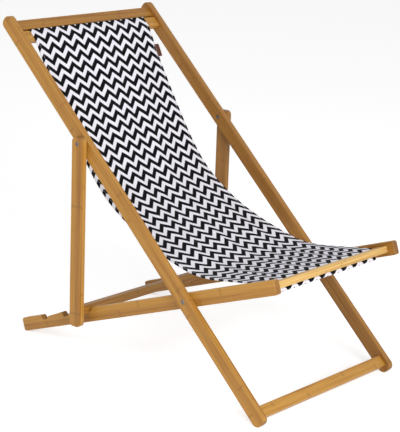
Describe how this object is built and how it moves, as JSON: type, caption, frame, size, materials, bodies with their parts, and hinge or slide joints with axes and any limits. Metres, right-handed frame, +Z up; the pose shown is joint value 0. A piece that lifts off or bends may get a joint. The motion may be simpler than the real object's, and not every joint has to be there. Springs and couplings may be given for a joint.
{
  "type": "folding sling deck chair",
  "caption": "Low folding deck chair of bamboo rails: main frame, crossing seat frame with a notched rack, prop frame, and a hanging cloth sling.",
  "frame": {"origin": "on the floor, under the middle of the chair's outline", "axes": "+X across the chair, to the sitter's left, +Y to the back, +Z up"},
  "size_m": [0.58, 0.9422, 0.8493],
  "materials": {
    "bamboo": "satin oiled strip bamboo",
    "dowel_wood": "plain turned hardwood",
    "pivot_steel": "dark zinc plated",
    "pivot_washer": "zinc plated",
    "sling_canvas": "woven canvas with a black and white zigzag",
    "label_cloth": "plain brown woven tape"
  },
  "bodies": {
    "main_frame": {"main_rail_left": "bamboo", "main_rail_right": "bamboo", "top_crossbar": "bamboo", "top_sling_bar": "bamboo", "bottom_stretcher": "bamboo", "main_frame_dowels": "dowel_wood", "seat_pivot_bolts": "pivot_steel", "seat_pivot_nuts": "pivot_steel", "seat_pivot_washers": "pivot_washer", "prop_pivot_bolts": "pivot_steel", "prop_pivot_nuts": "pivot_steel", "prop_pivot_washers": "pivot_washer", "top_hem_dowel": "dowel_wood", "sling_fabric": "sling_canvas", "label_tab": "label_cloth"},
    "seat_frame": {"seat_rail_left": "bamboo", "seat_rail_right": "bamboo", "front_bar": "bamboo", "front_sling_bar": "bamboo", "seat_frame_dowels": "dowel_wood", "front_hem_dowel": "dowel_wood"},
    "prop_frame": {"prop_strut_left": "bamboo", "prop_strut_right": "bamboo", "prop_crossbar": "bamboo", "prop_frame_dowels": "dowel_wood"}
  },
  "joints": [
    {"name": "seat_fold", "type": "hinge", "parent": "main_frame", "child": "seat_frame", "pos_m": [0, -0.20092, 0.24404], "axis": [-1, 0, 0], "range_deg": [0, 111.5], "deforming": ["sling_fabric"]},
    {"name": "prop_fold", "type": "hinge", "parent": "main_frame", "child": "prop_frame", "pos_m": [0, 0.16148, 0.56936], "axis": [-1, 0, 0], "range_deg": [0, 42.2]}
  ],
  "couplings": [
    {"joint": "prop_fold", "follows": "seat_fold", "ratio": 0.3767}
  ]
}
